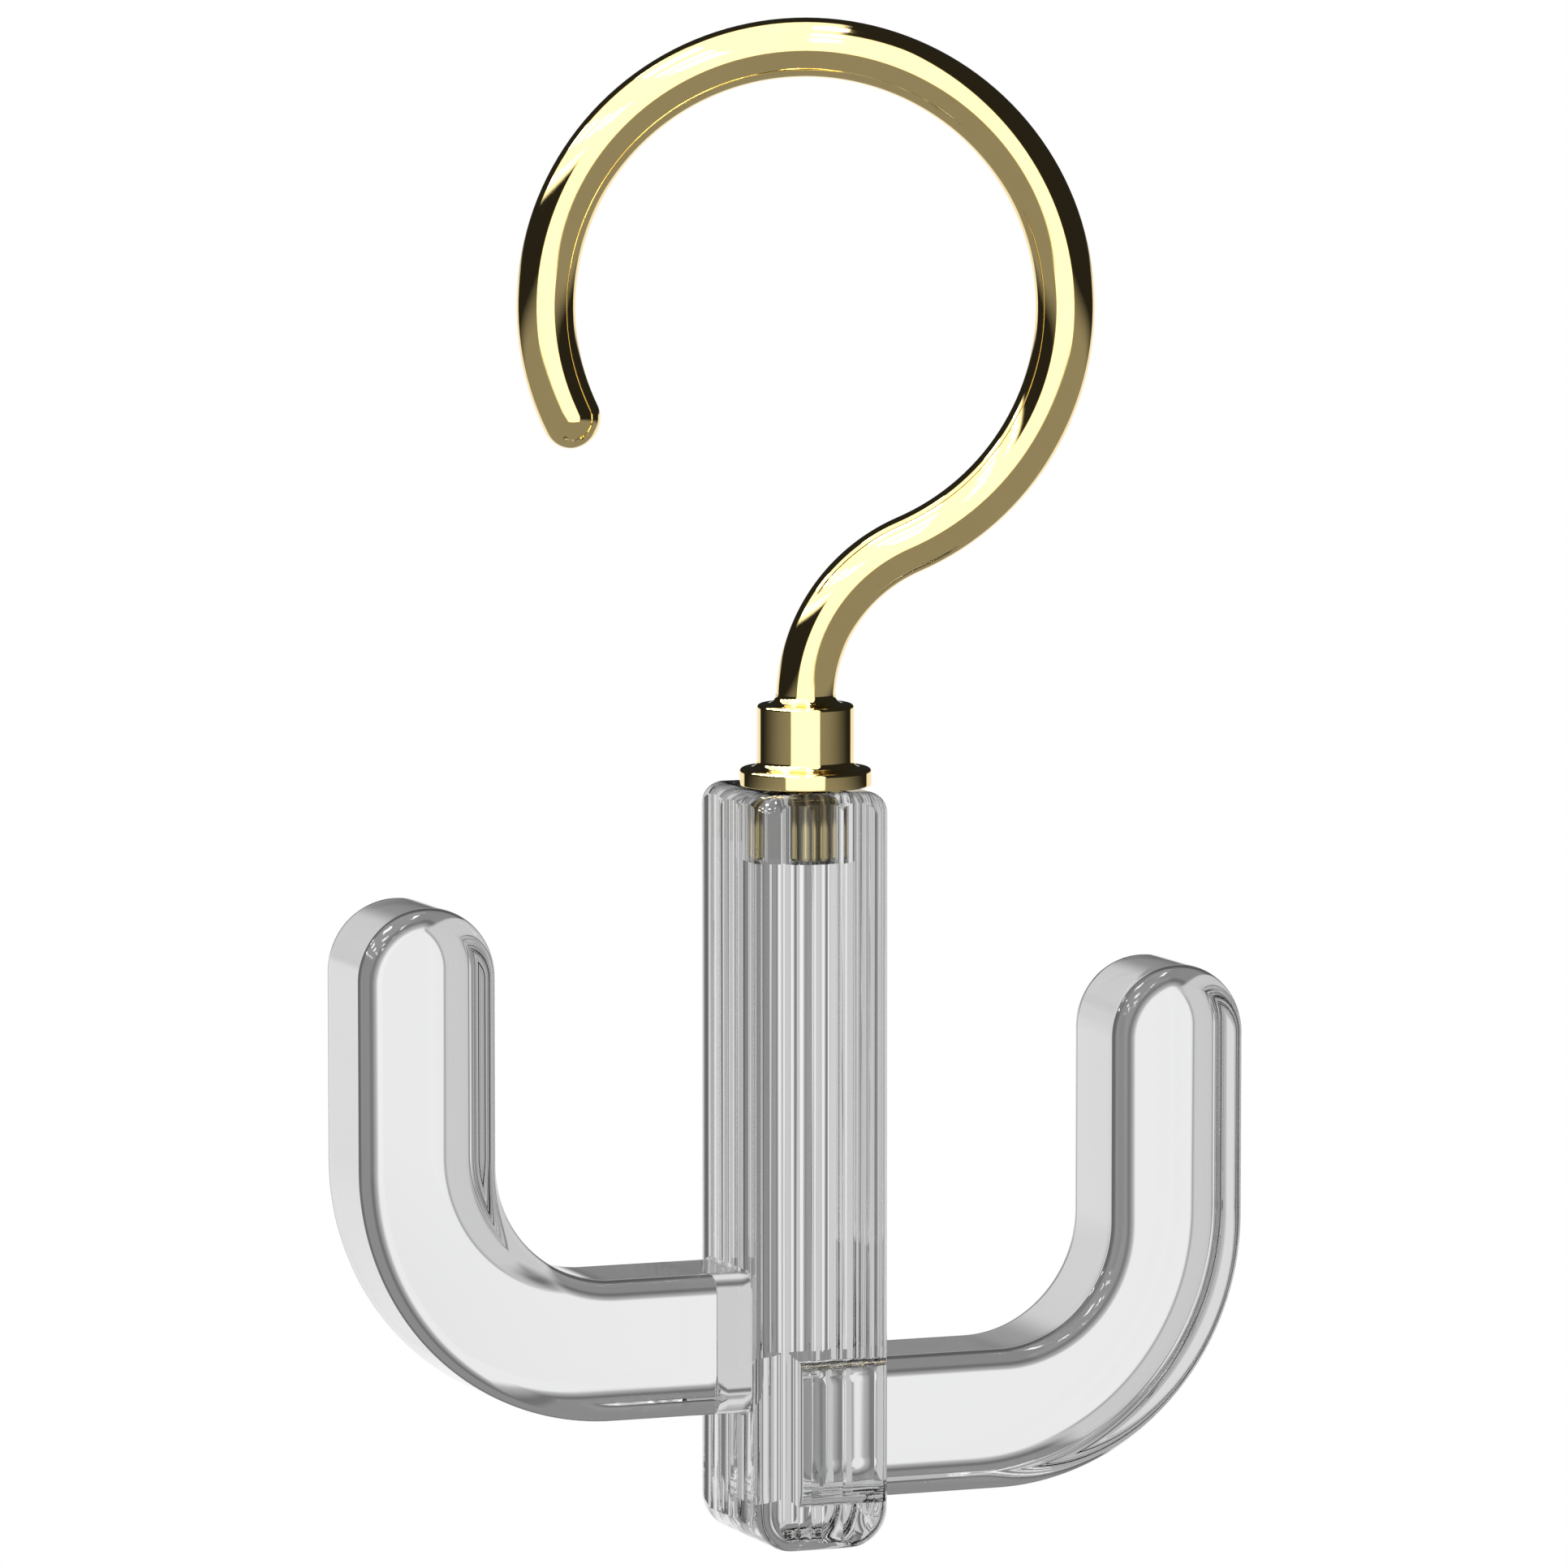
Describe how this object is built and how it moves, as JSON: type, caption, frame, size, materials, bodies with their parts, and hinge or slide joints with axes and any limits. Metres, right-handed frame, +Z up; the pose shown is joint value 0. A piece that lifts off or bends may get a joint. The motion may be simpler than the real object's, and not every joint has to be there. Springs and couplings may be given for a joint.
{
  "type": "swivel hook hanger",
  "caption": "Wardrobe rail hook that swivels on a clear fluted post with upturned J arms at staggered heights, for hanging bags, belts or scarves.",
  "frame": {"origin": "the point under the hook's crown where the rail bears", "axes": "+Z up along the swivel axis; +X to the right, along the plane of the arms; -Y towards the front"},
  "size_m": [0.1022, 0.0268, 0.1648],
  "materials": {
    "pale_gold": "polished pale gold plating",
    "bush_brass": "turned brass",
    "spring_steel": "plain spring steel",
    "clear_acrylic": "clear, polished"
  },
  "bodies": {
    "hook": {"hook_rod": "pale_gold", "swivel_collar": "pale_gold", "retaining_clip": "spring_steel"},
    "post": {"post_body": "clear_acrylic", "socket_bush": "bush_brass", "left_arm": "clear_acrylic", "right_arm": "clear_acrylic"}
  },
  "joints": [
    {"name": "post_swivel", "type": "hinge", "parent": "hook", "child": "post", "pos_m": [0, 0, -0.0763], "axis": [0, 0, 1], "continuous": true}
  ]
}
